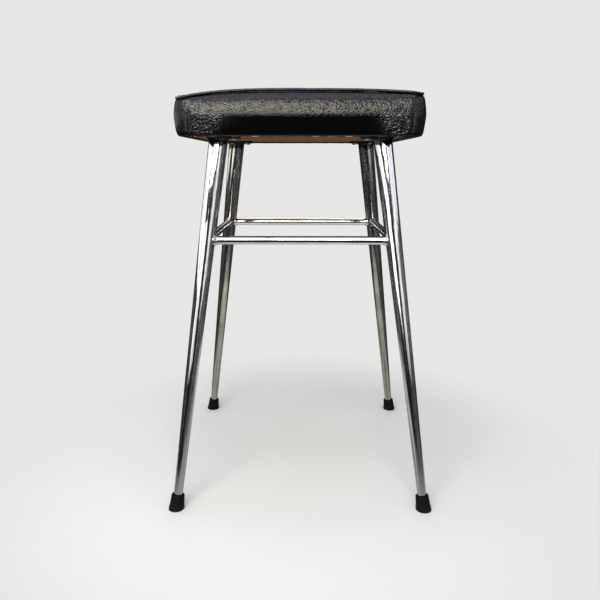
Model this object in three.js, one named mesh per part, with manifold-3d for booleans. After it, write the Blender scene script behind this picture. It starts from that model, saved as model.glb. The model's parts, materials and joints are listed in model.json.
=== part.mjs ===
// Bar stool with footrest: a boxed vinyl seat on four splayed, tapered chrome legs tied by a ring of rungs.
// Millimetres, +Z up, front towards -Y, origin on the floor under the middle of the seat.
import * as THREE from "three";
import { ParametricGeometry } from "three/addons/geometries/ParametricGeometry.js";
import { mergeVertices } from "three/addons/utils/BufferGeometryUtils.js";
import Module from "manifold-3d";

const wasm = await Module();
wasm.setup();

const GAP = 0.3; // clearance between pieces that touch

// Legs, rungs and rubber feet
const SEAT_Z = 566; // underside of the seat board
const FOOT_REACH = 193.5; // leg axis to the middle of the stool, along x and along y, at the floor
const HEAD_REACH = 120; // the same at the seat board
const LEG_FOOT_R = 6.6; // outer radius where the axis meets the floor
const LEG_HEAD_R = 14.2; // outer radius where the axis meets the seat board
const LEG_WALL = 1.5;
const LEG_SIDES = 40;
const RUNG_Z = 415;
const RUNG_R = 6.35;
const RUNG_WALL = 1.2;
const RUNG_SIDES = 24;
const FERRULE_BASE_R = 12;
const FERRULE_TOP_R = 10;
const FERRULE_HEIGHT = 24;
const FERRULE_SOLE = 5; // rubber between the floor and the end of the leg
const FERRULE_SIDES = 36;

// Mounting plates and their screws
const PLATE_T = 3;
const PLATE_OUTWARD = 16; // from the leg axis to the plate's outer edges
const PLATE_INWARD = 30; // from the leg axis to its inner edges
const PLATE_CORNER_R = 5;
const SCREW_SPOTS = [[21, 21], [21, -6], [-6, 21]]; // inward of the leg axis along x and y
const SCREW_R = 2;
const SCREW_LENGTH = 11.5;
const SCREW_HEAD_R = 3.8;
const SCREW_HEAD_H = 2.3;
const SCREW_SLOT = 0.9; // width of the cross recess
const SCREW_SIDES = 12;

// Seat: a plywood board, a foam pad and a vinyl cover with piping
const SEAT_HALF = 178.5; // half the width over the cover
const CORNER_R = 28; // corner radius of the cover in plan
const CORNER_DROP = 9; // how far the piping dips at the corners
const BOARD_T = 12;
const BOARD_INSET = 7.6;
const SKIN = 1.2; // thickness of the vinyl
const LIP = 20; // inset of the edge of the vinyl turned under the board
const PIPING_R = 2.5;
const PIPING_Z = 58.2; // above the underside of the board, at the middle of a side
const PIPING_INSET = 8;
const CROWN_Z = 68.5; // top of the seat above the underside of the board
const DOME_ROWS = 7;
const FOAM_EASE = 0.7; // extra room over the foam's domed top
const ROUND_STEPS = 40; // steps round the seat, half of them on the corners
// The cover's side: height above the board's underside, inset of its outer face, share of the corner drop
const SIDE = [
  [1.5, 4.8, 0],
  [14, 2, 0],
  [28, 0, 0.3],
  [40, 1.4, 0.6],
  [49, 4.4, 0.85],
  [55.2, 7.3, 1],
];

const plateTop = SEAT_Z - GAP;
const plateBottom = plateTop - PLATE_T;
const legFoot = new THREE.Vector3(FOOT_REACH, -FOOT_REACH, 0);
const legHead = new THREE.Vector3(HEAD_REACH, -HEAD_REACH, SEAT_Z);
const legLength = legFoot.distanceTo(legHead);
const legAxis = legHead.clone().sub(legFoot).normalize();

const chrome = { color: 0xd9dadb, roughness: 0.08, metalness: 1 };
const steel = { color: 0x8b8d90, roughness: 0.35, metalness: 1 };
const rubber = { color: 0x0c0c0c, roughness: 0.8, metalness: 0 };
const vinyl = { color: 0x0d0e10, roughness: 0.38, metalness: 0 };
const plywood = { color: 0x7a5a3f, roughness: 0.75, metalness: 0 };
const foam = { color: 0xd9cfa8, roughness: 0.95, metalness: 0 };

// The same surface with its shared vertices merged and only positions left.
function bare(geometry) {
  const copy = new THREE.BufferGeometry().setAttribute("position", geometry.getAttribute("position"));
  return mergeVertices(copy.setIndex(geometry.index), 1e-4);
}

function solidOf(geometry) {
  const { index, attributes } = bare(geometry);
  return new wasm.Manifold(
    new wasm.Mesh({
      numProp: 3,
      vertProperties: new Float32Array(attributes.position.array),
      triVerts: new Uint32Array(index.array),
    }),
  );
}

function geometryOf(solid) {
  const { vertProperties, triVerts } = solid.getMesh();
  const geometry = new THREE.BufferGeometry();
  geometry.setAttribute("position", new THREE.BufferAttribute(vertProperties, 3));
  geometry.setIndex(new THREE.BufferAttribute(triVerts, 1));
  geometry.computeVertexNormals();
  return geometry;
}

function mesh(name, geometry, look) {
  const made = new THREE.Mesh(geometry, new THREE.MeshStandardMaterial(look));
  made.name = name;
  return made;
}

// A solid of revolution about +Y through [radius, height] points.
function turned(points, sides) {
  return new THREE.LatheGeometry(points.map(([r, y]) => new THREE.Vector2(r, y)), sides);
}

// Moves a shape made round +Y on to the axis of the front right leg.
function alongLeg(geometry) {
  const turn = new THREE.Quaternion().setFromUnitVectors(new THREE.Vector3(0, 1, 0), legAxis);
  return geometry.applyQuaternion(turn).translate(...legFoot);
}

// A box far wider than the stool's members, used to cut everything above or below a height.
function slab(z, side) {
  const height = 100;
  const box = new THREE.BoxGeometry(5 * height, 5 * height, height);
  return solidOf(box.translate(FOOT_REACH, -FOOT_REACH, z + (side * height) / 2));
}

const legRadius = (s) => LEG_FOOT_R + ((LEG_HEAD_R - LEG_FOOT_R) * s) / legLength;

// The tapered tube of the front right leg, cut level under its plate.
function legGeometry() {
  const [start, end] = [FERRULE_SOLE, legLength + LEG_HEAD_R];
  const tube = turned([
    [legRadius(start), start],
    [legRadius(end), end],
    [legRadius(end) - LEG_WALL, end],
    [legRadius(start) - LEG_WALL, start],
    [legRadius(start), start],
  ], LEG_SIDES);
  return geometryOf(solidOf(alongLeg(tube)).subtract(slab(plateBottom - GAP, 1)));
}

// The solid a rung's end is coped against: a leg with its clearance.
function legEnvelope() {
  const end = legLength + LEG_HEAD_R;
  const profile = [[0, 0], [legRadius(0) + GAP, 0], [legRadius(end) + GAP, end], [0, end]];
  return alongLeg(turned(profile, LEG_SIDES));
}

// The front rung: a round tube with both ends coped to fit the legs.
function rungGeometry() {
  const reach = THREE.MathUtils.lerp(FOOT_REACH, HEAD_REACH, RUNG_Z / SEAT_Z);
  const bore = RUNG_R - RUNG_WALL;
  const tube = turned([
    [RUNG_R, -reach],
    [RUNG_R, reach],
    [bore, reach],
    [bore, -reach],
    [RUNG_R, -reach],
  ], RUNG_SIDES);
  tube.rotateZ(-Math.PI / 2).translate(0, -reach, RUNG_Z);
  const rightLeg = legEnvelope();
  const leftLeg = rightLeg.clone().rotateZ(-Math.PI / 2);
  return geometryOf(solidOf(tube).subtract(solidOf(rightLeg)).subtract(solidOf(leftLeg)));
}

// The rubber foot: a cup round the end of the leg, cut level with the floor.
function ferruleGeometry() {
  const socket = (s) => legRadius(s) + GAP;
  const floor = FERRULE_SOLE - GAP;
  const cup = turned([
    [0, -FERRULE_SOLE],
    [FERRULE_BASE_R, -FERRULE_SOLE],
    [FERRULE_BASE_R, 3],
    [FERRULE_BASE_R - 0.9, 7],
    [FERRULE_TOP_R, FERRULE_HEIGHT - 1.5],
    [FERRULE_TOP_R - 1, FERRULE_HEIGHT],
    [socket(FERRULE_HEIGHT), FERRULE_HEIGHT],
    [socket(floor), floor],
    [0, floor],
  ], FERRULE_SIDES);
  return geometryOf(solidOf(alongLeg(cup)).subtract(slab(0, -1)));
}

// A square with rounded corners, as a shape in plan.
function roundedSquare(half, radius) {
  const flat = half - radius;
  const shape = new THREE.Shape();
  for (let corner = 0; corner < 4; corner++) {
    const turn = (corner * Math.PI) / 2;
    const centre = new THREE.Vector2(flat, flat).rotateAround(new THREE.Vector2(), turn);
    shape.absarc(centre.x, centre.y, radius, turn, turn + Math.PI / 2);
  }
  return shape;
}

// The front right mounting plate, with a clearance hole for each screw.
function plateGeometry() {
  const centre = HEAD_REACH - (PLATE_INWARD - PLATE_OUTWARD) / 2;
  const shape = roundedSquare((PLATE_INWARD + PLATE_OUTWARD) / 2, PLATE_CORNER_R);
  for (const [x, y] of SCREW_SPOTS) {
    const hole = new THREE.Path();
    hole.absarc(HEAD_REACH - x - centre, centre - HEAD_REACH + y, SCREW_R + GAP, 0, 2 * Math.PI);
    shape.holes.push(hole);
  }
  const plate = new THREE.ExtrudeGeometry(shape, { depth: PLATE_T, bevelEnabled: false, curveSegments: 5 });
  return plate.translate(centre, -centre, plateBottom);
}

// A pan-head wood screw pointing up, its head under z = 0, with a cross recess in the head.
function screwGeometry() {
  const blank = turned([
    [0, -SCREW_HEAD_H],
    [0.6 * SCREW_HEAD_R, -SCREW_HEAD_H],
    [0.9 * SCREW_HEAD_R, -0.7 * SCREW_HEAD_H],
    [SCREW_HEAD_R, -0.25 * SCREW_HEAD_H],
    [SCREW_HEAD_R, 0],
    [SCREW_R, 0],
    [SCREW_R, SCREW_LENGTH - 3],
    [0, SCREW_LENGTH],
  ], SCREW_SIDES).rotateX(Math.PI / 2);
  const slot = new THREE.BoxGeometry(1.2 * SCREW_HEAD_R, SCREW_SLOT, SCREW_HEAD_H);
  slot.translate(0, 0, -SCREW_HEAD_H);
  const cross = solidOf(slot).add(solidOf(slot.clone().rotateZ(Math.PI / 2)));
  return geometryOf(solidOf(blank).subtract(cross));
}

// The plywood board, with a blind pilot hole for every screw.
function boardGeometry() {
  const shape = roundedSquare(SEAT_HALF - BOARD_INSET, CORNER_R - BOARD_INSET);
  const board = new THREE.ExtrudeGeometry(shape, { depth: BOARD_T, bevelEnabled: false, curveSegments: 8 });
  let solid = solidOf(board.translate(0, 0, SEAT_Z));
  const depth = SCREW_LENGTH - PLATE_T;
  const hole = new THREE.CylinderGeometry(SCREW_R + GAP, SCREW_R + GAP, 2 * depth, 8).rotateX(Math.PI / 2);
  for (let corner = 0; corner < 4; corner++) {
    for (const [x, y] of SCREW_SPOTS) {
      const pilot = hole.clone().translate(HEAD_REACH - x, y - HEAD_REACH, SEAT_Z);
      solid = solid.subtract(solidOf(pilot.rotateZ((corner * Math.PI) / 2)));
    }
  }
  return geometryOf(solid);
}

// A point of the seat's plan, set in from the edge; u runs round it once, half of it on the corners.
function outlinePoint(u, inset) {
  const middle = new THREE.Vector2();
  const t = (u * 4) % 1;
  const flat = SEAT_HALF - CORNER_R;
  const point =
    t < 0.5
      ? new THREE.Vector2(SEAT_HALF - inset, flat * (4 * t - 1))
      : new THREE.Vector2(CORNER_R - inset, 0).rotateAround(middle, (t - 0.5) * Math.PI).addScalar(flat);
  return point.rotateAround(middle, (Math.floor(u * 4) * Math.PI) / 2);
}

// A soft piece that follows the seat's outline. Each row of its section has a height above the underside of
// the board, an inset, a share of the corner drop, and its spread from the middle (0) to the edge (1).
function seatPiece(rows) {
  const last = rows.length - 1;
  const surface = (u, v, target) => {
    const { z, inset, drop = 0, spread = 1 } = rows[Math.round(v * last)];
    const point = outlinePoint(u, inset);
    const corner = (Math.min(Math.abs(point.x), Math.abs(point.y)) / (SEAT_HALF - inset)) ** 4;
    target.set(spread * point.x, spread * point.y, SEAT_Z + z - drop * CORNER_DROP * corner);
  };
  const geometry = bare(new ParametricGeometry(surface, ROUND_STEPS, last));
  geometry.computeVertexNormals();
  return geometry;
}

// The side of the seat from the board up to the piping, a distance inside the cover's outer face.
function sideRows(inside) {
  return SIDE.map(([z, inset, drop]) => ({ z, inset: inset + inside, drop }));
}

// The domed top, a distance below the cover's outer face, from its rim beside the piping to the middle.
function domeRows(below) {
  const inset = PIPING_INSET + PIPING_R + 2 * GAP;
  return Array.from({ length: DOME_ROWS + 1 }, (_, row) => {
    const inward = (row / DOME_ROWS) ** 2;
    const rise = 1 - (1 - inward) ** 5;
    const z = THREE.MathUtils.lerp(PIPING_Z, CROWN_Z, rise) - below;
    return { z, inset, drop: 1 - rise, spread: 1 - inward };
  });
}

function coverBandGeometry() {
  const [, turn] = SIDE[0];
  const outside = [
    { z: -SKIN - GAP, inset: LIP },
    { z: -SKIN - GAP, inset: turn + 1.6 },
    { z: -GAP, inset: turn + 0.4 },
  ];
  const inside = [
    { z: GAP, inset: turn + 1.6 },
    { z: -GAP, inset: turn + 2.4 },
    { z: -GAP, inset: LIP },
  ];
  const rows = [...outside, ...sideRows(0), ...sideRows(SKIN).reverse(), ...inside, outside[0]];
  return seatPiece(rows);
}

function coverTopGeometry() {
  return seatPiece([...domeRows(SKIN).reverse(), ...domeRows(0)]);
}

function pipingGeometry() {
  const sides = 8;
  const rows = Array.from({ length: sides + 1 }, (_, side) => {
    const turn = (2 * Math.PI * side) / sides;
    const inset = PIPING_INSET - PIPING_R * Math.cos(turn);
    return { z: PIPING_Z + PIPING_R * Math.sin(turn), inset, drop: 1 };
  });
  return seatPiece(rows);
}

function foamGeometry() {
  const under = SKIN + GAP;
  const bottom = { z: BOARD_T + GAP, inset: SIDE[1][1] + under + 0.5 };
  const sides = sideRows(under).slice(1, -1);
  return seatPiece([{ ...bottom, spread: 0 }, bottom, ...sides, ...domeRows(under + FOAM_EASE)]);
}

// One corner of the frame, built at the front right: leg, rubber foot, plate, screws and the front rung.
function cornerGroup(corner, rung) {
  const group = new THREE.Group();
  group.add(mesh(`leg_${corner}`, shared.leg, chrome));
  group.add(mesh(`rubber_foot_${corner}`, shared.ferrule, rubber));
  group.add(mesh(`mounting_plate_${corner}`, shared.plate, steel));
  group.add(mesh(`rung_${rung}`, shared.rung, chrome));
  SCREW_SPOTS.forEach(([x, y], spot) => {
    const screw = mesh(`screw_${corner}_${spot + 1}`, shared.screw, steel);
    screw.position.set(HEAD_REACH - x, y - HEAD_REACH, plateBottom - GAP);
    group.add(screw);
  });
  return group;
}

const shared = {
  leg: legGeometry(),
  ferrule: ferruleGeometry(),
  plate: plateGeometry(),
  rung: rungGeometry(),
  screw: screwGeometry(),
};

const group = new THREE.Group();
const corners = [
  ["front_right", "front"],
  ["back_right", "right"],
  ["back_left", "back"],
  ["front_left", "left"],
];
corners.forEach(([corner, rung], turn) => {
  const frameCorner = cornerGroup(corner, rung);
  frameCorner.rotation.z = (turn * Math.PI) / 2;
  group.add(frameCorner);
});
group.add(mesh("seat_board", boardGeometry(), plywood));
group.add(mesh("foam_pad", foamGeometry(), foam));
group.add(mesh("seat_cover_band", coverBandGeometry(), vinyl));
group.add(mesh("seat_cover_top", coverTopGeometry(), vinyl));
group.add(mesh("seat_piping", pipingGeometry(), vinyl));

export default group;
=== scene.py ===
import json
import math
import random

import bpy
import bmesh
import numpy as np
from mathutils import Matrix, Vector, noise


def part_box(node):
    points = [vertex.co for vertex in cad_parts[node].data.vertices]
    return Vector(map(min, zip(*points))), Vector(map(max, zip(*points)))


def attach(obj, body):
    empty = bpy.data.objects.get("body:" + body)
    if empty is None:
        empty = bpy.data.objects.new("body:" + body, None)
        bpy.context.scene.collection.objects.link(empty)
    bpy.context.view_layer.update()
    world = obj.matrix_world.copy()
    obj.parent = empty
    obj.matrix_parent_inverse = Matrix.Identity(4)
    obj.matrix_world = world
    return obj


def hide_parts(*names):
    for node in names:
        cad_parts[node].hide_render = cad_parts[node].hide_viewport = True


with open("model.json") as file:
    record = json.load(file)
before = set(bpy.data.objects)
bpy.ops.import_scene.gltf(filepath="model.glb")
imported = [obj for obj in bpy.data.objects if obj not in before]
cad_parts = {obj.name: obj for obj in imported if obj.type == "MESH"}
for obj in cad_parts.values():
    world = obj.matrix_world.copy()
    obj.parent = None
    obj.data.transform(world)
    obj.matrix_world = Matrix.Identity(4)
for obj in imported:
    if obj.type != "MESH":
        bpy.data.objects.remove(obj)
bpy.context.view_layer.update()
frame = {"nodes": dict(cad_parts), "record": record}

MM = 0.001
CORNERS = ("front_right", "back_right", "back_left", "front_left")
RUNGS = ("front", "right", "back", "left")
nodes = frame["nodes"]
scene = bpy.context.scene
# The seat's own measures, in millimetres like everything below that isn't a Blender setting.
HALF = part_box("seat_cover_band")[1].x / MM
UNDER, BOARD_TOP = (corner.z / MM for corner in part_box("seat_board"))
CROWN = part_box("seat_cover_top")[1].z / MM
PLATE_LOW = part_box("mounting_plate_front_right")[0].z
# The frame's: radii of the rungs and of a leg's foot, how a leg thickens upwards, and where its axis runs.
RUNG_R, LEG_FOOT_R, LEG_GROWTH = 6.35, 6.6, 7.6 / 566
FOOT = abs(frame["record"]["mounts"][0]["pos_m"][0]) / MM
rung_low, rung_high = (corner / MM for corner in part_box("rung_front"))
RUNG_Y, RUNG_Z = (rung_low.y + rung_high.y) / 2, (rung_low.z + rung_high.z) / 2
LEG_SLOPE = (-RUNG_Y - FOOT) / RUNG_Z


# ---------------------------------------------------------------- camera and studio

def make_camera():
    """A level eye just under the seat, looking a little down at the stool from the front."""
    data = bpy.data.cameras.new("camera")
    data.lens = 35.43
    data.sensor_width = 36.0
    data.clip_end = 50.0
    camera = bpy.data.objects.new("camera", data)
    pitch, yaw, roll = 0.2311, -0.0062, 0.0008
    turn = Matrix.Rotation(-yaw, 4, "Z") @ Matrix.Rotation(math.pi / 2 - pitch, 4, "X")
    turn = turn @ Matrix.Rotation(roll, 4, "Z")
    camera.matrix_world = Matrix.Translation((0.0050, -1.0198, 0.5304)) @ turn
    scene.collection.objects.link(camera)
    scene.camera = camera


def softbox(name, azimuth, elevation, distance, size, radiance, tint, target=(0, 0, 0.42)):
    """A rectangular area light aimed at the stool; in degrees, azimuth 0 is in front and 90 on the right."""
    data = bpy.data.lights.new(name, "AREA")
    data.shape = "RECTANGLE"
    data.size, data.size_y = size
    data.energy = radiance * size[0] * size[1] * math.pi
    data.color = tint
    light = bpy.data.objects.new(name, data)
    a, e = math.radians(azimuth), math.radians(elevation)
    towards = Vector((math.sin(a) * math.cos(e), -math.cos(a) * math.cos(e), math.sin(e)))
    light.location = Vector(target) + towards * distance
    light.rotation_mode = "QUATERNION"
    light.rotation_quaternion = towards.to_track_quat("Z", "Y")
    scene.collection.objects.link(light)


# Narrow upright lights that draw fine lines down the chrome: azimuth, elevation, width, height, radiance.
STRIPS = (
    (19, -8, 0.07, 1.6, 0.6), (30, 4, 0.20, 2.4, 0.45), (41, 0, 0.06, 2.6, 1.0), (50, 0, 0.16, 2.6, 0.22),
    (59, 0, 0.05, 2.6, 0.8), (70, 2, 0.24, 2.4, 0.30), (84, 0, 0.06, 2.6, 0.9), (98, 0, 0.14, 2.6, 0.35),
    (118, 0, 0.08, 2.6, 0.7), (-53, -20, 0.05, 1.2, 0.8), (-64, -20, 0.12, 1.2, 0.4),
    (-79, -18, 0.05, 1.2, 1.0), (-96, -18, 0.16, 1.2, 0.3), (-112, -18, 0.06, 1.2, 0.8),
    (-150, 0, 0.10, 2.4, 0.8), (150, 0, 0.10, 2.4, 0.8),
)


def make_studio():
    """A bright panel in front, dimmer ones round and over the stool, strips of light, and a pale backdrop."""
    softbox("key_front", -11, 25, 1.9, (1.70, 1.08), 9.0, (1.0, 0.965, 0.91), (0, 0, 0.58))
    softbox("panel_left", -86, 22, 1.9, (3.2, 1.5), 1.3, (0.97, 0.98, 1.0))
    softbox("panel_right", 64, 24, 2.1, (2.9, 1.2), 1.0, (0.93, 0.96, 1.0))
    softbox("card_low", -31, -1, 1.9, (1.30, 0.66), 1.7, (1.0, 0.98, 0.95))
    softbox("card_right", 35, -1, 2.2, (1.50, 0.70), 0.8, (0.97, 0.98, 1.0))
    softbox("overhead", 0, 84, 1.7, (1.9, 1.9), 2.0, (0.80, 0.88, 1.0))
    softbox("back_wash", 180, 42, 1.8, (1.8, 0.9), 2.2, (1.0, 0.99, 0.97))
    for number, (azimuth, elevation, width, height, radiance) in enumerate(STRIPS):
        softbox(f"strip_{number}", azimuth, elevation, 2.1, (width, height), radiance, (0.90, 0.95, 1.0))
    world = bpy.data.worlds.new("studio")
    world.use_nodes = True
    tree = world.node_tree
    tree.nodes.clear()
    seen = tree.nodes.new("ShaderNodeBackground")
    seen.inputs["Color"].default_value = (0.82, 0.82, 0.81, 1)
    room = tree.nodes.new("ShaderNodeBackground")
    room.inputs["Color"].default_value = (0.03, 0.032, 0.036, 1)
    path = tree.nodes.new("ShaderNodeLightPath")
    mix = tree.nodes.new("ShaderNodeMixShader")
    out = tree.nodes.new("ShaderNodeOutputWorld")
    tree.links.new(path.outputs["Is Camera Ray"], mix.inputs[0])
    tree.links.new(room.outputs[0], mix.inputs[1])
    tree.links.new(seen.outputs[0], mix.inputs[2])
    tree.links.new(mix.outputs[0], out.inputs[0])
    scene.world = world
    scene.view_settings.view_transform = "Standard"
    scene.view_settings.gamma = 0.88


def make_floor():
    """A pale floor that fades into the backdrop well away from the stool."""
    bm = bmesh.new()
    bmesh.ops.create_circle(bm, cap_ends=True, segments=96, radius=1.1)
    mesh = bpy.data.meshes.new("floor")
    bm.to_mesh(mesh)
    floor = bpy.data.objects.new("floor", mesh)
    scene.collection.objects.link(floor)
    shade = Shade("floor_paper")
    shade.set(base=(0.62, 0.62, 0.61), roughness=0.9, specular=0.2)
    distance = shade.new("ShaderNodeVectorMath", operation="LENGTH")
    shade.link(shade.coords, distance.inputs[0])
    fade = shade.new("ShaderNodeMapRange", interpolation_type="SMOOTHSTEP")
    fade.inputs["From Min"].default_value = 0.27
    fade.inputs["From Max"].default_value = 0.60
    fade.inputs["To Min"].default_value = 1.0
    fade.inputs["To Max"].default_value = 0.0
    shade.link(distance.outputs["Value"], fade.inputs["Value"])
    shade.link(fade.outputs["Result"], shade.bsdf.inputs["Alpha"])
    mesh.materials.append(shade.material)


# ---------------------------------------------------------------- materials

class Shade:
    """A node material round one Principled shader, with short calls for the patterns it needs."""

    def __init__(self, name):
        self.material = bpy.data.materials.new(name)
        self.material.use_nodes = True
        self.tree = self.material.node_tree
        self.bsdf = self.tree.nodes["Principled BSDF"]
        self.coords = self.tree.nodes.new("ShaderNodeTexCoord").outputs["Object"]
        self.bumps = None

    def new(self, kind, **settings):
        node = self.tree.nodes.new(kind)
        for key, value in settings.items():
            setattr(node, key, value)
        return node

    def link(self, source, target):
        self.tree.links.new(source, target)

    def set(self, base=None, roughness=None, metallic=None, specular=None, coat=None, coat_roughness=None):
        values = {"Base Color": base and (*base, 1.0), "Roughness": roughness, "Metallic": metallic,
                  "Specular IOR Level": specular, "Coat Weight": coat, "Coat Roughness": coat_roughness}
        for socket, value in values.items():
            if value is not None:
                self.bsdf.inputs[socket].default_value = value

    def stretched(self, scale, turn=(0, 0, 0)):
        mapping = self.new("ShaderNodeMapping")
        mapping.inputs["Scale"].default_value = scale
        mapping.inputs["Rotation"].default_value = turn
        self.link(self.coords, mapping.inputs["Vector"])
        return mapping.outputs["Vector"]

    def down_leg(self, slowness):
        """Coordinates that hardly change down a splayed leg, and differ between left and right legs."""
        place = self.new("ShaderNodeSeparateXYZ")
        self.link(self.coords, place.inputs[0])
        drift = self.math("MULTIPLY", place.outputs["Z"], LEG_SLOPE)
        side = self.math("MULTIPLY", self.math("SIGN", place.outputs["X"], 0.0), 0.05)
        joined = self.new("ShaderNodeCombineXYZ")
        for axis in "XY":
            reach = self.math("ABSOLUTE", place.outputs[axis], 0.0)
            self.link(self.math("SUBTRACT", reach, drift), joined.inputs[axis])
        height = self.math("MULTIPLY", place.outputs["Z"], slowness)
        self.link(self.math("ADD", height, side), joined.inputs["Z"])
        return joined.outputs[0]

    def noise(self, scale, detail=3.0, rough=0.55, vector=None, distortion=0.0):
        node = self.new("ShaderNodeTexNoise")
        node.inputs["Scale"].default_value = scale
        node.inputs["Detail"].default_value = detail
        node.inputs["Roughness"].default_value = rough
        node.inputs["Distortion"].default_value = distortion
        self.link(vector or self.coords, node.inputs["Vector"])
        return node.outputs["Fac"]

    def cells(self, scale, feature="F1", vector=None, output="Distance", randomness=1.0):
        node = self.new("ShaderNodeTexVoronoi", feature=feature)
        node.inputs["Scale"].default_value = scale
        node.inputs["Randomness"].default_value = randomness
        self.link(vector or self.coords, node.inputs["Vector"])
        return node.outputs[output]

    def ranged(self, value, low, high, to_low=0.0, to_high=1.0):
        node = self.new("ShaderNodeMapRange")
        for socket, number in zip(("From Min", "From Max", "To Min", "To Max"), (low, high, to_low, to_high)):
            node.inputs[socket].default_value = number
        self.link(value, node.inputs["Value"])
        return node.outputs["Result"]

    def math(self, operation, a, b):
        node = self.new("ShaderNodeMath", operation=operation)
        for socket, value in zip(node.inputs, (a, b)):
            if isinstance(value, (int, float)):
                socket.default_value = value
            else:
                self.link(value, socket)
        return node.outputs[0]

    def ramp(self, value, stops):
        node = self.new("ShaderNodeValToRGB")
        ramp = node.color_ramp
        while len(ramp.elements) < len(stops):
            ramp.elements.new(0.5)
        for element, (place, colour) in zip(ramp.elements, stops):
            element.position = place
            element.color = (*colour, 1.0)
        self.link(value, node.inputs["Fac"])
        return node.outputs["Color"]

    def blend(self, factor, a, b):
        node = self.new("ShaderNodeMix", data_type="RGBA")
        self.link(factor, node.inputs["Factor"])
        for socket, value in ((node.inputs[6], a), (node.inputs[7], b)):
            if isinstance(value, tuple):
                socket.default_value = (*value, 1.0)
            else:
                self.link(value, socket)
        return node.outputs[2]

    def warped(self, amount, scale, vector=None):
        """Coordinates pushed about by a coarse noise, so that a pattern's cells aren't all alike."""
        node = self.new("ShaderNodeTexNoise")
        node.inputs["Scale"].default_value = scale
        self.link(vector or self.coords, node.inputs["Vector"])
        centred = self.new("ShaderNodeVectorMath", operation="SUBTRACT")
        centred.inputs[1].default_value = (0.5, 0.5, 0.5)
        self.link(node.outputs["Color"], centred.inputs[0])
        push = self.new("ShaderNodeVectorMath", operation="MULTIPLY_ADD")
        push.inputs[1].default_value = (amount,) * 3
        self.link(centred.outputs[0], push.inputs[0])
        self.link(vector or self.coords, push.inputs[2])
        return push.outputs[0]

    def bump(self, height, distance, strength=1.0):
        node = self.new("ShaderNodeBump")
        node.inputs["Distance"].default_value = distance
        node.inputs["Strength"].default_value = strength
        self.link(height, node.inputs["Height"])
        if self.bumps:
            self.link(self.bumps, node.inputs["Normal"])
        self.bumps = node.outputs["Normal"]
        self.link(self.bumps, self.bsdf.inputs["Normal"])

    def colour(self, source):
        self.link(source, self.bsdf.inputs["Base Color"])

    def roughness(self, source):
        self.link(source, self.bsdf.inputs["Roughness"])


def chrome_material(name, along, tint=(0.84, 0.84, 0.84), polish=0.06, tarnish=0.0, painted_dark_foot=0.0, painted_top_shade=0.0):
    """Chrome plate on tube made on a draw bench: faint draw lines along it, soft ripples, freckles of wear,
    with painted dark reflection streaks, a painted darker foot and painted shade at the top under the plate.
    """
    shade = Shade(name)
    shade.set(metallic=1.0)
    stretch = [1.0, 1.0, 1.0]
    stretch[along] = 0.012
    lines = shade.down_leg(0.012) if along == 2 else shade.stretched(tuple(stretch))
    fine = shade.noise(900, 2.0, vector=lines)
    streak_noise = shade.noise(300, 3.0, 0.6, vector=lines)
    painted_streaks = shade.ranged(streak_noise, 0.50, 0.62)
    stretch[along] = 0.22
    ripples = shade.noise(75, 2.0, vector=shade.stretched(tuple(stretch)))
    cloud = shade.noise(14, 4.0)
    freckles = shade.ranged(shade.noise(420, 1.0), 0.68, 0.76)
    worn = shade.math("MULTIPLY", freckles, shade.ranged(cloud, 0.46, 0.62))
    dull = shade.math("MULTIPLY", shade.ranged(cloud, 0.35, 0.7), tarnish)
    place = shade.new("ShaderNodeSeparateXYZ")
    shade.link(shade.coords, place.inputs[0])
    # Painted reflection: the chrome's colour darkens towards the foot, a painted dark reflection low on the
    # leg.
    dark_foot_mask = shade.ranged(place.outputs["Z"], 0.34, 0.06, 0.0, painted_dark_foot)
    dark_foot_colour = shade.blend(dark_foot_mask, tint, (0.20, 0.20, 0.205))
    depth = shade.ranged(place.outputs["Z"], 0.34, 0.12, 0.45, 0.45 + 0.5 * min(1.0, 1.4 * painted_dark_foot))
    # Painted reflection: dark lines down the chrome, darker towards the foot.
    with_painted_streaks = shade.blend(shade.math("MULTIPLY", painted_streaks, depth), dark_foot_colour, tuple(0.22 * c for c in tint))
    tarnished = shade.blend(dull, with_painted_streaks, (0.20, 0.175, 0.13))
    spotted = shade.blend(worn, tarnished, (0.16, 0.12, 0.09))
    # Painted shadow: a ragged near-black band round the top of the leg, just under the plate.
    edge = shade.ranged(shade.noise(130, 3.0), 0.3, 0.7, -0.004, 0.004)
    ragged = shade.math("ADD", place.outputs["Z"], edge)
    top_shade_mask = shade.ranged(ragged, PLATE_LOW - 0.0105, PLATE_LOW - 0.0085, 0.0, painted_top_shade)
    shade.colour(shade.blend(top_shade_mask, spotted, (0.012, 0.011, 0.010)))
    base_rough = shade.ranged(cloud, 0.3, 0.75, polish * 0.8, polish * 1.7)
    hazed = shade.math("MULTIPLY", shade.ranged(streak_noise, 0.47, 0.40), shade.math("SUBTRACT", depth, 0.40))
    rough = shade.math("ADD", base_rough, shade.math("MULTIPLY", hazed, 0.42))
    shade.roughness(shade.math("ADD", rough, shade.math("MULTIPLY", worn, 0.35)))
    shade.bump(ripples, 0.00040)
    shade.bump(fine, 0.000025)
    return shade.material


def plate_material(name="plate_steel"):
    """Strip steel coloured near black, with worn patches rubbed lighter or bare."""
    shade = Shade(name)
    shade.set(metallic=1.0)
    cloud = shade.noise(70, 4.0)
    scratches = shade.noise(1200, 2.0, vector=shade.stretched((1.0, 0.03, 1.0), (0, 0, 0.4)))
    near_black, rubbed, bare = (0.035, 0.033, 0.032), (0.06, 0.058, 0.056), (0.24, 0.23, 0.22)
    shade.colour(shade.ramp(cloud, [(0.35, near_black), (0.62, rubbed), (0.8, bare)]))
    shade.roughness(shade.ranged(cloud, 0.3, 0.7, 0.32, 0.5))
    shade.bump(scratches, 0.00004)
    return shade.material


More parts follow.
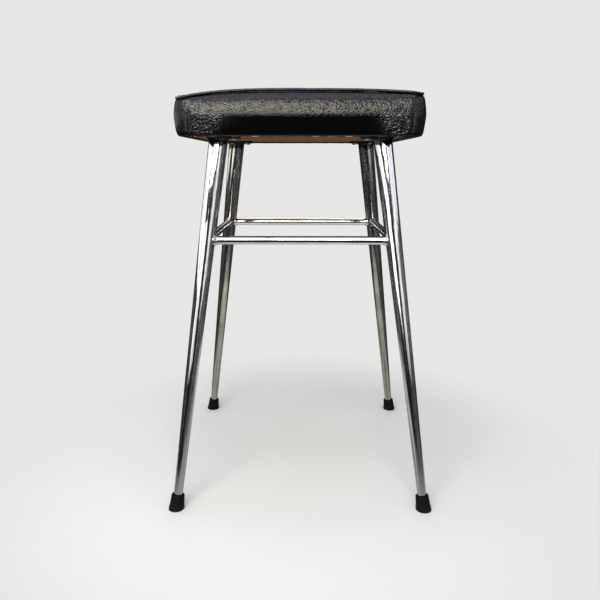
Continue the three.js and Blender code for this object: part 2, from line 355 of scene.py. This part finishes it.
def screw_material(name="screw_zinc", bright=1.0):
    """Zinc-plated steel with a yellowed patch here and there."""
    shade = Shade(name)
    shade.set(metallic=1.0)
    patch = shade.noise(260, 3.0)
    shade.colour(shade.ramp(patch, [(0.4, (0.58 * bright, 0.57 * bright, 0.54 * bright)),
                                    (0.7, (0.46 * bright, 0.41 * bright, 0.31 * bright))]))
    shade.roughness(shade.ranged(patch, 0.3, 0.7, 0.22, 0.45))
    shade.bump(shade.noise(2500, 2.0), 0.00003)
    return shade.material


def rubber_material():
    """Matt black rubber with scuffs, dusty towards the floor."""
    shade = Shade("black_rubber")
    shade.set(specular=0.12)
    height = shade.new("ShaderNodeSeparateXYZ")
    shade.link(shade.coords, height.inputs[0])
    low = shade.ranged(height.outputs["Z"], 0.012, 0.0)
    dust = shade.math("MULTIPLY", low, shade.ranged(shade.noise(300, 4.0), 0.42, 0.7))
    shade.colour(shade.blend(dust, (0.003, 0.003, 0.003), (0.028, 0.026, 0.024)))
    shade.roughness(shade.ranged(shade.noise(160, 3.0), 0.3, 0.7, 0.5, 0.72))
    shade.bump(shade.noise(1500, 3.0), 0.00012)
    return shade.material


def plywood_material(knot):
    """Bare birch ply seen from underneath: long grain, pores, a small knot, and stains of age."""
    shade = Shade("plywood")
    shade.set(specular=0.25)
    grain_space = shade.stretched((1.0, 9.0, 9.0))
    warped = shade.warped(0.35, 1.2, grain_space)
    bands = shade.noise(9.0, 5.0, 0.6, warped, 1.2)
    pores = shade.noise(240, 2.0, vector=shade.stretched((0.06, 1.0, 1.0)))
    dark, middling, light = (0.33, 0.175, 0.092), (0.45, 0.245, 0.132), (0.54, 0.31, 0.172)
    wood = shade.ramp(bands, [(0.30, dark), (0.5, middling), (0.68, light)])
    worn = shade.blend(shade.ranged(pores, 0.55, 0.75), wood, (0.20, 0.115, 0.062))
    place = shade.new("ShaderNodeVectorMath", operation="DISTANCE")
    squash = shade.stretched((0.55, 1.0, 0.0))
    shade.link(squash, place.inputs[0])
    place.inputs[1].default_value = (knot[0] * 0.55, knot[1], 0.0)
    ring = shade.ranged(place.outputs["Value"], 0.0016, 0.0042, 1.0, 0.0)
    knotted = shade.blend(ring, worn, (0.045, 0.022, 0.012))
    stain = shade.ranged(shade.noise(7, 3.0), 0.5, 0.75)
    shade.colour(shade.blend(shade.math("MULTIPLY", stain, 0.45), knotted, (0.17, 0.115, 0.08)))
    shade.roughness(shade.ranged(bands, 0.3, 0.7, 0.62, 0.8))
    shade.bump(pores, 0.00012)
    return shade.material


def foam_material():
    shade = Shade("cream_foam")
    shade.set(specular=0.1, roughness=0.95)
    pores = shade.cells(650)
    # Painted shade: the middle of each pore is coloured darker.
    shade.colour(shade.ramp(pores, [(0.0, (0.34, 0.30, 0.19)), (0.5, (0.74, 0.68, 0.50))]))
    shade.bump(pores, 0.0005)
    return shade.material


def vinyl_material(name, gloss=0.13):
    """Black leathercloth: pebbled and finely creased, crumpled beside the corners, rubbed grey in places."""
    shade = Shade(name)
    shade.set(specular=0.5)
    warped = shade.warped(0.006, 60)
    creases = shade.ranged(shade.cells(330, "DISTANCE_TO_EDGE", warped), 0.0, 0.07)
    wrinkles = shade.noise(170, 3.0, 0.55, distortion=0.5)
    rubbed = shade.math("MULTIPLY", shade.ranged(shade.noise(22, 5.0, 0.65), 0.60, 0.85), creases)
    black, grey = (0.0020, 0.0020, 0.0023), (0.018, 0.017, 0.017)
    shade.colour(shade.blend(shade.math("MULTIPLY", rubbed, 0.4), black, grey))
    pits = shade.ranged(shade.noise(300, 2.0, 0.6, warped), 0.50, 0.64, 0.0, 0.13)
    even = shade.ranged(shade.noise(30, 4.0), 0.3, 0.7, gloss * 0.85, gloss * 1.25)
    place = shade.new("ShaderNodeSeparateXYZ")
    shade.link(shade.coords, place.inputs[0])
    height = place.outputs["Z"]
    across, along = (shade.math("ABSOLUTE", place.outputs[axis], 0.0) for axis in "XY")
    # 0 at the middle of a side, and about 0.15 beside a corner.
    nearer = shade.math("MINIMUM", across, along)
    beside = shade.math("MULTIPLY", shade.ranged(nearer, 0.105, 0.130), shade.ranged(nearer, 0.153, 0.148))
    low = shade.ranged(height, (UNDER + 30) * MM, (UNDER + 23) * MM)
    folds = shade.cells(210, "DISTANCE_TO_EDGE", shade.warped(0.010, 75))
    brow_top = shade.ranged(height, (UNDER + 50) * MM, (UNDER + 42) * MM)
    brow_foot = shade.ranged(height, (UNDER + 29) * MM, (UNDER + 33) * MM, 0.0, 0.34)
    brow = shade.math("MULTIPLY", brow_foot, brow_top)
    where = shade.math("MAXIMUM", shade.math("MULTIPLY", beside, low), brow)
    crumple = shade.math("MULTIPLY", shade.ranged(folds, 0.0, 0.32), where)
    # The lower half is stretched smooth between the crumpled corners.
    taut = shade.math("MULTIPLY", low, shade.ranged(nearer, 0.125, 0.095))
    uneven = shade.math("ADD", even, pits)
    shade.roughness(shade.math("MULTIPLY", uneven, shade.ranged(taut, 0.0, 1.0, 1.0, 0.35)))
    shade.bump(shade.math("MULTIPLY", wrinkles, shade.ranged(taut, 0.0, 1.0, 1.0, 0.3)), 0.00026, 0.5)
    shade.bump(shade.math("MULTIPLY", creases, shade.ranged(taut, 0.0, 1.0, 1.0, 0.12)), 0.00012, 0.7)
    shade.bump(crumple, 0.00085)
    return shade.material


# ---------------------------------------------------------------- the frame's own pieces

def smooth_group():
    """Geometry nodes that join a faceted node's split faces and shade all but its sharp edges smooth."""
    group = bpy.data.node_groups.new("smooth_facets", "GeometryNodeTree")
    group.interface.new_socket("Geometry", in_out="INPUT", socket_type="NodeSocketGeometry")
    group.interface.new_socket("Geometry", in_out="OUTPUT", socket_type="NodeSocketGeometry")
    start, end = group.nodes.new("NodeGroupInput"), group.nodes.new("NodeGroupOutput")
    weld = group.nodes.new("GeometryNodeMergeByDistance")
    weld.inputs["Distance"].default_value = 2e-6
    faces = group.nodes.new("GeometryNodeSetShadeSmooth")
    angle = group.nodes.new("GeometryNodeInputMeshEdgeAngle")
    sharp = group.nodes.new("ShaderNodeMath")
    sharp.operation = "GREATER_THAN"
    sharp.inputs[1].default_value = math.radians(32)
    edges = group.nodes.new("GeometryNodeSetShadeSmooth")
    edges.domain = "EDGE"
    edges.inputs["Shade Smooth"].default_value = False
    links = group.links
    links.new(start.outputs[0], weld.inputs["Geometry"])
    links.new(weld.outputs["Geometry"], faces.inputs["Geometry"])
    links.new(angle.outputs["Unsigned Angle"], sharp.inputs[0])
    links.new(faces.outputs["Geometry"], edges.inputs["Geometry"])
    links.new(sharp.outputs[0], edges.inputs["Selection"])
    links.new(edges.outputs["Geometry"], end.inputs[0])
    return group


def dress(node, material, group):
    """Gives a CAD node its material and smooth shading; its shape stays as it is."""
    piece = nodes[node]
    for slot in piece.material_slots:
        slot.material = material
    normals = piece.data.attributes.get("custom_normal")
    if normals:
        piece.data.attributes.remove(normals)
    modifier = piece.modifiers.new("smooth_facets", "NODES")
    modifier.node_group = group


def dress_frame():
    group = smooth_group()
    # The legs' chrome gets a painted darker foot and painted shade at the top.
    front_leg = chrome_material("chrome_front_legs", 2, painted_dark_foot=0.75, painted_top_shade=0.95)
    back_leg = chrome_material("chrome_back_legs", 2, (0.66, 0.65, 0.60), 0.10, 0.75, 0.45, 0.9)
    rung_x, rung_y = chrome_material("chrome_rungs_x", 0), chrome_material("chrome_rungs_y", 1)
    rubber, plate, screw = rubber_material(), plate_material(), screw_material()
    for corner in CORNERS:
        dress(f"leg_{corner}", front_leg if corner.startswith("front") else back_leg, group)
        dress(f"rubber_foot_{corner}", rubber, group)
        rounding = nodes[f"rubber_foot_{corner}"].modifiers.new("rounding", "BEVEL")
        rounding.width = 1.5 * MM
        rounding.segments = 3
        rounding.limit_method = "ANGLE"
        rounding.angle_limit = math.radians(55)
        dress(f"mounting_plate_{corner}", plate, group)
        for spot in (1, 2, 3):
            dress(f"screw_{corner}_{spot}", screw, group)
    for rung in RUNGS:
        dress(f"rung_{rung}", rung_x if rung in ("front", "back") else rung_y, group)
    dress("seat_board", plywood_material((-0.058, -0.025)), group)


# ---------------------------------------------------------------- the seat

CORNER_R = 28.0
SKIN = 1.2  # thickness of the leathercloth
CELLS = 84  # grid cells along one side of the top panel, and columns along one side of the band
PIPING_R = 2.2
# How each corner was pulled: how far the seam dips there, and the cover's inset at the seam and at the board.
PULL = {"front_left": (12.6, -0.4, 3.8), "front_right": (5.6, 3.2, 6.0),
        "back_right": (8.0, 2.5, 5.0), "back_left": (9.0, 2.0, 5.0)}
SEAM_HEIGHT = 58.0  # seam above the board's underside at the middle of a side
SEAM_INSET = 10.4
# The band's section at the middle of a side, from the groove under the piping down to the board's edge:
# inset, and height as a share of the seam's height.
SECTION = (
    (13.6, 1.002), (11.6, 0.988), (10.3, 0.962), (8.7, 0.93), (7.1, 0.89), (5.5, 0.845), (4.1, 0.795),
    (2.9, 0.75), (1.8, 0.70), (0.9, 0.645), (0.3, 0.595), (0.0, 0.545), (0.2, 0.47), (0.65, 0.39),
    (1.25, 0.31), (2.0, 0.22), (2.8, 0.13), (3.6, 0.05),
)
SWELL = (0.7, 3.0)  # how much smaller the band and the top start before they are stuffed
# The turn under the board: inset and height; the lip's own width follows.
TURN = ((4.6, -0.9), (6.4, -1.7), (8.6, -1.9))
GROOVE_ROWS = 3  # rows at the seam that the stuffing can't move
CLOTH_MASS, CLOTH_STIFFNESS, CLOTH_CAP = 0.15, 25.0, 6.0
CLOTH_FRAMES = 20
# Creases beside each corner: distance along the edge from the corner's middle, depth, half-width, slope.
PLEATS = ((-16.5, 2.5, 1.6, 1.5), (20.5, 2.3, 1.6, -1.5), (-31.0, 0.9, 2.2, 6.0), (34.0, 0.9, 2.2, -6.0))


def along_side(columns):
    """Which side each column is on and how far along it, 0 to 1; they are closer together at the corners."""
    t = (columns % CELLS) / CELLS
    return np.floor_divide(columns, CELLS).astype(int), t - 0.45 * np.sin(2 * np.pi * t) / (2 * np.pi)


def outline(columns, inset):
    """Points of the seat's plan, for columns counted from the front right corner round by the back."""
    side, t = along_side(columns)
    flat, arc = 2 * (HALF - CORNER_R), CORNER_R * math.pi / 2
    along = t * (flat + arc) - arc / 2
    angle = np.where(along < 0, along / CORNER_R, np.where(along > flat, (along - flat) / CORNER_R, 0.0))
    middle = np.clip(along, 0, flat) - flat / 2
    x = HALF - CORNER_R + (CORNER_R - inset) * np.cos(angle)
    y = middle + (CORNER_R - inset) * np.sin(angle)
    turn = side % 4 * math.pi / 2
    return np.stack([x * np.cos(turn) - y * np.sin(turn), x * np.sin(turn) + y * np.cos(turn)], -1)


def from_corner(columns):
    """Distance along the edge from the middle of the nearest corner, negative before it, and its name."""
    length = 2 * (HALF - CORNER_R) + CORNER_R * math.pi / 2
    side, t = along_side(columns)
    after = t > 0.5
    return np.where(after, t - 1, t) * length, np.array(CORNERS)[(side + after) % 4]


def outward_of(columns):
    """Unit vectors that point out of the seat's plan."""
    return outline(columns, 0.0) - outline(columns, 1.0)


def near_corner(points, power):
    """0 at the middle of a side and 1 at a corner."""
    return np.clip((np.minimum(np.abs(points[..., 0]), np.abs(points[..., 1])) / HALF * 1.04) ** power, 0, 1)


def side_share(points, axis):
    """From 0 at the stool's left or front to 1 at its right or back."""
    return 0.5 + 0.5 * np.tanh(points[..., axis] / 60.0)


def pulled(points, index):
    """One value of PULL for each point, changing over smoothly from one side of the stool to the other."""
    right, back = side_share(points, 0), side_share(points, 1)
    value = {name: pull[index] for name, pull in PULL.items()}
    front = value["front_left"] * (1 - right) + value["front_right"] * right
    rear = value["back_left"] * (1 - right) + value["back_right"] * right
    return front * (1 - back) + rear * back


def seam_line(columns):
    """Height and inset of the seam at each column."""
    plan = outline(columns, 0.0)
    drop, lean = pulled(plan, 0), pulled(plan, 1)
    edge = near_corner(plan, 5)
    return SEAM_HEIGHT - drop * near_corner(plan, 3.4), SEAM_INSET * (1 - edge) + lean * edge


def band_points(columns, slack):
    """The band's outer face: rows of points from the groove down to the edge of the board."""
    plan = outline(columns, 0.0)
    edge = near_corner(plan, 5)
    lean, tuck = pulled(plan, 1), pulled(plan, 2)
    seam, _ = seam_line(columns)
    rows = []
    for inset, share in SECTION:
        groove = max(0.0, (share - 0.93) / 0.07)
        straight = lean * share + tuck * (1 - share) ** 3 - 1.2 * share * (1 - share) + 2.6 * groove**2
        hollow = 4 * slack * share * (1 - min(share, 1.0))
        point = outline(columns, inset * (1 - edge) + straight * edge + hollow)
        rows.append(np.column_stack([point, UNDER + share * seam]))
    return np.array(rows)


def lip_rows(columns):
    """The vinyl turned under the board and stapled: a wavy edge, folded over itself at the corners."""
    distance, _ = from_corner(columns)
    plan = outline(columns, 0.0)
    edge = near_corner(plan, 5)
    wander = np.array([2.2 * noise.noise((x * 0.02, y * 0.02, 3.0)) for x, y in plan])
    width = 17.0 + 5.0 * side_share(plan, 0) + wander
    folds = np.exp(-(distance / 26.0) ** 2) * (0.5 + 0.5 * np.sin(distance * 0.62 + 0.8)) ** 2
    rows = []
    shift = (pulled(plan, 2) - 3.3) * edge
    for inset, z in TURN:
        point = outline(columns, np.minimum(inset + shift, CORNER_R - 6))
        rows.append(np.column_stack([point, np.full(len(columns), UNDER + z)]))
    for share in (0.35, 0.7, 1.0):
        inset = TURN[-1][0] + (width - TURN[-1][0]) * share + shift * (1 - share)
        point = outline(columns, np.minimum(inset, CORNER_R - 6 + 4 * share))
        z = UNDER + TURN[-1][1] - 1.5 * folds * math.sin(math.pi * (0.2 + 0.6 * share))
        rows.append(np.column_stack([point, z]))
    return np.array(rows)


def top_inset(columns, inset):
    """Inset of the top panel's edge, which lies against the piping's inner side."""
    return inset + 2.6 + 1.8 * near_corner(outline(columns, 0.0), 5)


def top_points(slack):
    """The top panel as a square grid laid over the rounded outline, crowned in the middle."""
    grid = np.linspace(-1, 1, CELLS + 1)
    u, v = np.meshgrid(grid, grid, indexing="ij")
    ring = np.maximum(np.abs(u), np.abs(v))
    safe = np.where(ring == 0, 1, ring)
    quarter = np.select([(u >= np.abs(v)), (v >= np.abs(u)), (-u >= np.abs(v))], [0, 1, 2], 3)
    share = np.choose(quarter, [v, -u, -v, u]) / safe
    columns = (quarter + (share + 1) / 2) * CELLS % (4 * CELLS)
    seam, inset = seam_line(columns)
    edge = outline(columns, top_inset(columns, inset))
    square = np.stack([u, v], -1) / safe[..., None] * (HALF - SEAM_INSET - 2.6)
    mixed = edge * ring[..., None] ** 3 + square * (1 - ring[..., None] ** 3)
    rise = 0.3 * (1 - ring**2) ** 0.5 + 0.7 * (1 - ring**9)
    z = UNDER + seam + 0.3 + (CROWN - 0.6 - UNDER - seam - slack) * rise
    return np.stack([mixed[..., 0] * ring, mixed[..., 1] * ring, z], -1)


def border(size):
    """Grid positions round the edge of a square grid, in the order of the band's columns."""
    last = size - 1
    walk = [(last, k) for k in range(last)] + [(last - k, last) for k in range(last)]
    walk += [(0, last - k) for k in range(last)] + [(k, 0) for k in range(last)]
    return np.array([i * size + j for i, j in walk])


def grid_faces(rows, columns, closed):
    """Quads of a rows x columns grid of vertices; closed joins the last column to the first."""
    r = np.arange(rows - 1)[:, None]
    c = np.arange(columns if closed else columns - 1)[None, :]
    after = (c + 1) % columns
    corners = [r * columns + c, (r + 1) * columns + c, (r + 1) * columns + after, r * columns + after]
    return np.stack(corners, -1).reshape(-1, 4)


def mesh_object(name, vertices, faces, material=None):
    """A smooth-shaded object from points in millimetres."""
    mesh = bpy.data.meshes.new(name)
    points = [tuple(float(c) * MM for c in v) for v in vertices]
    mesh.from_pydata(points, [], [tuple(map(int, f)) for f in faces])
    mesh.polygons.foreach_set("use_smooth", [True] * len(mesh.polygons))
    made = bpy.data.objects.new(name, mesh)
    scene.collection.objects.link(made)
    if material:
        mesh.materials.append(material)
    return made


def closed_shell(grid, rings):
    """One closed surface: a square grid on top, rings of points down the side, and a flat bottom."""
    side, columns = len(grid), rings.shape[1]
    start = side * side
    rim = border(side)
    faces = [list(f) for f in grid_faces(side, side, False)]
    faces += [list(f + start) for f in grid_faces(len(rings), columns, True)]
    for c in range(columns):
        n = (c + 1) % columns
        faces.append([rim[c], start + c, start + n, rim[n]])
    faces.append([start + (len(rings) - 1) * columns + c for c in reversed(range(columns))])
    return np.vstack([grid.reshape(-1, 3), rings.reshape(-1, 3)]), faces


def halfway(values, axis, closed):
    """Twice as many samples along an axis, the new ones midway between their neighbours."""
    count = values.shape[axis]
    after = np.roll(values, -1, axis)
    doubled = np.stack([values, (values + after) / 2], axis + 1)
    shape = list(values.shape)
    shape[axis] = 2 * count
    doubled = doubled.reshape(shape)
    return doubled if closed else np.take(doubled, range(2 * count - 1), axis)


def stuffed(band, top):
    """Blows the cover up with a short cloth simulation; the seam and the edge of the board hold it."""
    coarse_band, coarse_top = band[:, ::2], top[::2, ::2]
    rows, columns = coarse_band.shape[:2]
    points, faces = closed_shell(coarse_top, coarse_band)
    start = coarse_top.shape[0] ** 2
    cover = mesh_object("stuffing", points, faces)
    bm = bmesh.new()
    bm.from_mesh(cover.data)
    bmesh.ops.recalc_face_normals(bm, faces=bm.faces)
    bm.to_mesh(cover.data)
    bm.free()
    held = cover.vertex_groups.new(name="held")
    held.add([int(i) for i in border(len(coarse_top))], 1.0, "REPLACE")
    held.add([start + i for i in range(GROOVE_ROWS * columns)], 1.0, "REPLACE")
    held.add([start + (rows - 1) * columns + c for c in range(columns)], 1.0, "REPLACE")
    slack = cover.vertex_groups.new(name="slack")
    distance, _ = from_corner(2.0 * np.arange(columns))
    for c in range(columns):
        loose = 0.35 + 0.65 * math.exp(-(distance[c] / 55.0) ** 2)
        slack.add([start + r * columns + c for r in range(rows)], loose, "REPLACE")
    cloth = cover.modifiers.new("cloth", "CLOTH")
    settings = cloth.settings
    settings.quality = 5
    settings.mass = CLOTH_MASS
    settings.tension_stiffness = settings.compression_stiffness = CLOTH_STIFFNESS
    settings.shear_stiffness = 0.4 * CLOTH_STIFFNESS
    settings.bending_stiffness = 0.05
    settings.use_pressure = True
    settings.uniform_pressure_force = 4.0
    settings.vertex_group_mass = "held"
    settings.vertex_group_shrink = "slack"
    settings.shrink_min = 0.0
    settings.shrink_max = -0.035
    settings.effector_weights.gravity = 0.0
    cloth.collision_settings.use_self_collision = False
    cloth.collision_settings.use_collision = False
    cloth.point_cache.frame_start = 1
    cloth.point_cache.frame_end = CLOTH_FRAMES
    for number in range(1, CLOTH_FRAMES + 1):
        scene.frame_set(number)
    settled = cover.evaluated_get(bpy.context.evaluated_depsgraph_get())
    after = np.empty(len(points) * 3)
    settled.data.vertices.foreach_get("co", after)
    move = after.reshape(-1, 3) / MM - points
    scene.frame_set(1)
    bpy.data.objects.remove(cover)
    length = np.linalg.norm(move, axis=1, keepdims=True)
    move *= np.minimum(1, CLOTH_CAP / np.maximum(length, 1e-9))
    side = move[start:].reshape(rows, columns, 3)
    over = move[:start].reshape(coarse_top.shape)
    return band + halfway(side, 1, True), top + halfway(halfway(over, 0, False), 1, False)


def creased(band, columns):
    """Adds what needle and stapler left: pleats and puckers beside the corners, faint ones at the seam."""
    distance, corner = from_corner(columns)
    outward = outward_of(columns)
    seed = np.array([CORNERS.index(name) * 7.0 for name in corner])
    result = band.copy()
    for row in range(GROOVE_ROWS, len(band)):
        height = (band[row, :, 2] - UNDER) / SEAM_HEIGHT
        low = np.clip((0.66 - height) / 0.2, 0, 1) * np.clip((height + 0.02) / 0.12, 0, 1)
        push = np.zeros(len(columns))
        for place, depth, width, slope in PLEATS:
            away = distance - place - slope * height
            ridge = 0.45 * np.exp(-((away - 2.4 * width) / (1.6 * width)) ** 2)
            push -= depth * low * (np.exp(-(away / width) ** 2) - ridge)
        beside = np.clip((np.abs(distance) - 14) / 6, 0, 1) * np.clip((56 - np.abs(distance)) / 22, 0, 1)
        spots = list(zip(distance, height, seed))
        ridges = np.array([noise.noise((d * 0.16 + h * 2.2, h * 5.0, s)) for d, h, s in spots])
        push += 1.1 * low * beside * ridges
        near_seam = np.clip((height - 0.72) / 0.2, 0, 1)
        sewn = np.array([noise.noise((d * 0.11, h * 1.5, s + 3.0)) for d, h, s in spots])
        push += 0.30 * near_seam * sewn
        result[row, :, :2] += outward * push[:, None]
    return result


def soft(piece, node, levels=1):
    """A soft piece rides on the frame's root body: it stands in for a CAD node, which is hidden, and is
    subdivided when levels is above 0.
    """
    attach(piece, "root")
    if node:
        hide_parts(node)
    if levels:
        fine = piece.modifiers.new("fine", "SUBSURF")
        fine.levels = fine.render_levels = levels


def thickened(piece, thickness=SKIN):
    skin = piece.modifiers.new("skin", "SOLIDIFY")
    skin.thickness = thickness * MM
    skin.offset = -1.0


def tube_rings(centre, outward, radius, sides):
    """Rings of points round a closed line whose section lies in the outward and upward directions."""
    angles = 2 * np.pi * np.arange(sides) / sides
    flat = centre[None, :, :2] + outward[None] * (radius[None] * np.cos(angles)[:, None])[..., None]
    z = centre[None, :, 2] + radius[None] * np.sin(angles)[:, None]
    return np.concatenate([flat, z[..., None]], -1)


def piping(columns):
    """The cord sewn into the seam: a slightly uneven round bead."""
    seam, inset = seam_line(columns)
    plan = outline(columns, 0.0)
    wander = np.array([noise.noise((x * 0.03, y * 0.03, 9.0)) for x, y in plan])
    outward = outward_of(columns)
    tucked = inset + 1.0 + 2.2 * near_corner(plan, 5) + 0.35 * wander
    centre = np.column_stack([outline(columns, tucked), UNDER + seam + 1.7 + 0.3 * wander])
    pinch = np.array([noise.noise((x * 0.12, y * 0.12, 5.0)) for x, y in plan])
    sides = 12
    rings = tube_rings(centre, outward, PIPING_R * (1 + 0.06 * pinch), sides)
    faces = grid_faces(sides, len(columns), True)
    last = np.arange(len(columns))
    after = (last + 1) % len(columns)
    top = (sides - 1) * len(columns)
    closing = np.stack([top + last, last, after, top + after], -1)
    faces = np.vstack([faces, closing])[:, ::-1]
    bead = mesh_object("piping", rings.reshape(-1, 3), faces, vinyl_material("black_vinyl_piping", 0.18))
    soft(bead, "seat_piping")


def foam_block(band, top, columns):
    """The foam inside the cover: a crowned block that fills it down to the board."""
    outward = outward_of(columns)
    rings = [row for row in band[GROOVE_ROWS + 1:] if row[:, 2].min() > BOARD_TOP + 2.0]
    rings = np.array(rings)
    rings[..., :2] -= 2.6 * outward[None]
    foot = rings[-1].copy()
    foot[:, 2] = BOARD_TOP + 0.4
    shrunk = top * (1 - 4.6 / HALF, 1 - 4.6 / HALF, 1)
    shrunk[..., 2] -= 3.2
    points, faces = closed_shell(shrunk, np.concatenate([rings, foot[None]]))
    block = mesh_object("foam_block", points, faces, foam_material())
    soft(block, "foam_pad", 0)


def staples(lip_z):
    """Wire staples that hold the turned-in vinyl to the board, all in one object."""
    chance = random.Random(7)
    path = ((-5.0, 1.0), (-4.8, 0.15), (-4.3, 0.0), (4.3, 0.0), (4.8, 0.15), (5.0, 1.0))
    half = 0.38
    vertices, faces = [], []
    for side in range(4):
        turn = Matrix.Rotation(side * math.pi / 2, 3, "Z")
        along = -150.0
        while along < 152:
            place = Vector((HALF - 13.5 + chance.uniform(-1.2, 1.2), along, UNDER + lip_z))
            tilt = Matrix.Rotation(math.pi / 2 + chance.uniform(-0.22, 0.22), 3, "Z")
            first = len(vertices)
            for x, z in path:
                for y, lift in ((-half, -half), (half, -half), (half, half), (-half, half)):
                    vertices.append(turn @ (place + tilt @ Vector((x, y, z + 0.7 * lift))))
            for ring in range(len(path) - 1):
                for k in range(4):
                    n = (k + 1) % 4
                    a = first + 4 * ring
                    faces.append((a + k, a + n, a + 4 + n, a + 4 + k))
            faces.append([first + k for k in (3, 2, 1, 0)])
            faces.append([first + 4 * (len(path) - 1) + k for k in range(4)])
            along += chance.uniform(21, 33)
    wire = mesh_object("staples", vertices, faces, screw_material("staple_wire"))
    wire.data.polygons.foreach_set("use_smooth", [False] * len(wire.data.polygons))
    soft(wire, None, levels=0)


def seat():
    columns = np.arange(4 * CELLS, dtype=float)
    band, top = stuffed(band_points(columns, SWELL[0]), top_points(SWELL[1]))
    band = creased(band, columns)
    cover = vinyl_material("black_vinyl")
    side = np.concatenate([band, lip_rows(columns)])
    wrap = mesh_object("cover_band", side.reshape(-1, 3), grid_faces(len(side), len(columns), True), cover)
    soft(wrap, "seat_cover_band")
    thickened(wrap)
    seam, inset = seam_line(columns)
    inset = top_inset(columns, inset)
    hems = [np.column_stack([outline(columns, inset + tuck), UNDER + seam + 0.3 - sink])
            for tuck, sink in ((0.3, 1.4), (1.2, 2.6))]
    points, faces = closed_shell(top, np.array(hems))
    panel = mesh_object("cover_top", points, faces[:-1], cover)
    soft(panel, "seat_cover_top")
    thickened(panel)
    piping(columns)
    foam_block(band, top, columns)
    staples(TURN[-1][1] - 0.1)


# ---------------------------------------------------------------- brazing and welds

def leg_centre(z):
    """The front right leg's axis at a height."""
    reach = FOOT + LEG_SLOPE * z
    return Vector((reach, -reach, z))


def leg_gap(point):
    """Distance of a point from the surface of the front right leg."""
    axis = (leg_centre(RUNG_Z) - leg_centre(0)).normalized()
    away = point - leg_centre(0)
    return (away - axis * away.dot(axis)).length - (LEG_FOOT_R + LEG_GROWTH * point.z)


def bead_object(name, grids, material):
    """One object from several closed-ring grids, each a list of rows of points."""
    vertices, faces = [], []
    for grid in grids:
        faces.extend(grid_faces(len(grid), len(grid[0]), True) + len(vertices))
        vertices.extend(point for row in grid for point in row)
    made = mesh_object(name, vertices, faces, material)
    bm = bmesh.new()
    bm.from_mesh(made.data)
    bmesh.ops.holes_fill(bm, edges=[edge for edge in bm.edges if edge.is_boundary], sides=0)
    bmesh.ops.recalc_face_normals(bm, faces=bm.faces)
    bm.to_mesh(made.data)
    bm.free()
    made.data.polygons.foreach_set("use_smooth", [True] * len(made.data.polygons))
    soft(made, None, levels=1)


def braze_grid(turn, mirror):
    """The brazed fillet round one rung end, plated over: it climbs from the rung on to the leg."""
    rows = []
    for step in range(6):
        t = step / 5
        row = []
        for k in range(20):
            angle = 2 * math.pi * k / 20
            lump = noise.noise((math.cos(angle) * 1.3, math.sin(angle) * 1.3, turn * 5.0 + mirror * 2.3 + t))
            radius = RUNG_R + 0.05 + (2.7 + 0.6 * lump) * t**1.5
            near, far = 0.0, 40.0
            for _ in range(24):
                middle = (near + far) / 2
                across, up = radius * math.cos(angle), radius * math.sin(angle)
                point = Vector((-RUNG_Y - middle, RUNG_Y + across, RUNG_Z + up))
                near, far = (middle, far) if leg_gap(point) < -0.35 else (near, middle)
            point.x -= (6.5 + 1.5 * lump) * (1 - t)
            row.append(point)
        rows.append(row)
    flip = Matrix.Diagonal((1, 1, 1)) if mirror else Matrix(((0, -1, 0), (-1, 0, 0), (0, 0, 1)))
    spin = Matrix.Rotation(turn * math.pi / 2, 3, "Z")
    return [[spin @ (flip @ point) for point in row] for row in rows]


def weld_grid(turn):
    """The lumpy ring of weld between a leg's top and its plate."""
    top = PLATE_LOW / MM - 0.1
    spin = Matrix.Rotation(turn * math.pi / 2, 3, "Z")
    rows = []
    for step in range(6):
        t = step / 5
        z = top - 3.4 * (1 - t)
        row = []
        for k in range(40):
            angle = 2 * math.pi * k / 40
            lump = noise.noise((math.cos(angle) * 3.2, math.sin(angle) * 3.2, turn * 3.0 + t))
            radius = LEG_FOOT_R + LEG_GROWTH * z - 0.3 + (3.1 + 1.1 * lump) * t**1.6
            row.append(spin @ (leg_centre(z) + Vector((math.cos(angle), math.sin(angle), 0)) * radius))
        rows.append(row)
    return rows


def joints():
    plated = chrome_material("braze_plated", 2, (0.74, 0.72, 0.68), 0.12, 0.4)
    fillets = [braze_grid(turn, mirror) for turn in range(4) for mirror in (0, 1)]
    bead_object("rung_brazing", fillets, plated)
    welds = [weld_grid(turn) for turn in range(4)]
    # The welds take the same near-black colour as the plates.
    bead_object("leg_welds", welds, plate_material("weld_steel"))


make_camera()
make_studio()
make_floor()
dress_frame()
seat()
joints()
